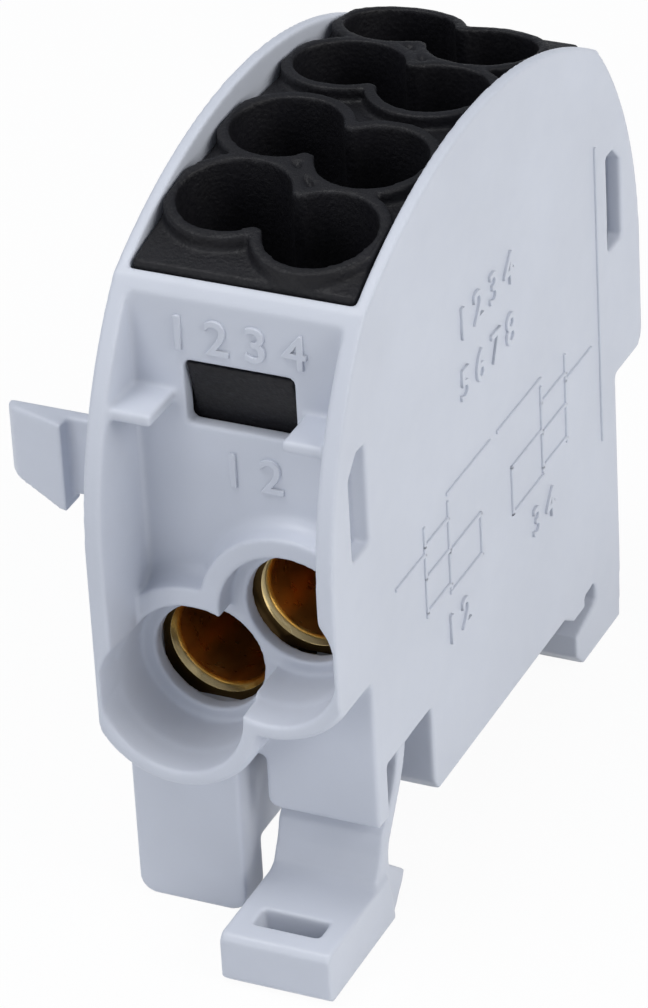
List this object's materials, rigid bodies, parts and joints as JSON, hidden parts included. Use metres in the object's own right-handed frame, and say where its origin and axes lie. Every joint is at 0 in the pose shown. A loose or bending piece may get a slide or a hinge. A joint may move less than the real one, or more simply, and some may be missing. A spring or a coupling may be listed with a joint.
{
  "type": "power distribution block",
  "caption": "Slim rail-mounted power distribution block: two offset through bores in a brass body, slotted clamp screws under a dark guide, coupling hooks on one side.",
  "frame": {"origin": "middle of the housing, in the plane that the rail's flanges touch", "axes": "+X along the rail, towards the face without hooks; +Y along the conductors, away from the latch; +Z away from the rail"},
  "size_m": [0.0257, 0.058, 0.0526],
  "materials": {
    "housing_plastic": "fine satin moulded polyamide, light grey",
    "guide_plastic": "slightly rough moulded polyamide, near black",
    "brass": "drawn and bored, bright at the countersinks",
    "screw_steel": "zinc plated"
  },
  "bodies": {
    "block": {"housing": "housing_plastic", "screw_guide": "guide_plastic", "terminal_block": "brass"},
    "screw_1": {"clamp_screw_1": "screw_steel"},
    "screw_2": {"clamp_screw_2": "screw_steel"},
    "screw_3": {"clamp_screw_3": "screw_steel"},
    "screw_4": {"clamp_screw_4": "screw_steel"},
    "screw_5": {"clamp_screw_5": "screw_steel"},
    "screw_6": {"clamp_screw_6": "screw_steel"},
    "screw_7": {"clamp_screw_7": "screw_steel"},
    "screw_8": {"clamp_screw_8": "screw_steel"}
  },
  "joints": [
    {"name": "screw_1_travel", "type": "slide", "parent": "block", "child": "screw_1", "axis": [0, 0, -1], "range_m": [0, 0.004]},
    {"name": "screw_2_travel", "type": "slide", "parent": "block", "child": "screw_2", "axis": [0, 0, -1], "range_m": [0, 0.004]},
    {"name": "screw_3_travel", "type": "slide", "parent": "block", "child": "screw_3", "axis": [0, 0, -1], "range_m": [0, 0.004]},
    {"name": "screw_4_travel", "type": "slide", "parent": "block", "child": "screw_4", "axis": [0, 0, -1], "range_m": [0, 0.004]},
    {"name": "screw_5_travel", "type": "slide", "parent": "block", "child": "screw_5", "axis": [0, 0, -1], "range_m": [0, 0.004]},
    {"name": "screw_6_travel", "type": "slide", "parent": "block", "child": "screw_6", "axis": [0, 0, -1], "range_m": [0, 0.004]},
    {"name": "screw_7_travel", "type": "slide", "parent": "block", "child": "screw_7", "axis": [0, 0, -1], "range_m": [0, 0.004]},
    {"name": "screw_8_travel", "type": "slide", "parent": "block", "child": "screw_8", "axis": [0, 0, -1], "range_m": [0, 0.004]}
  ]
}
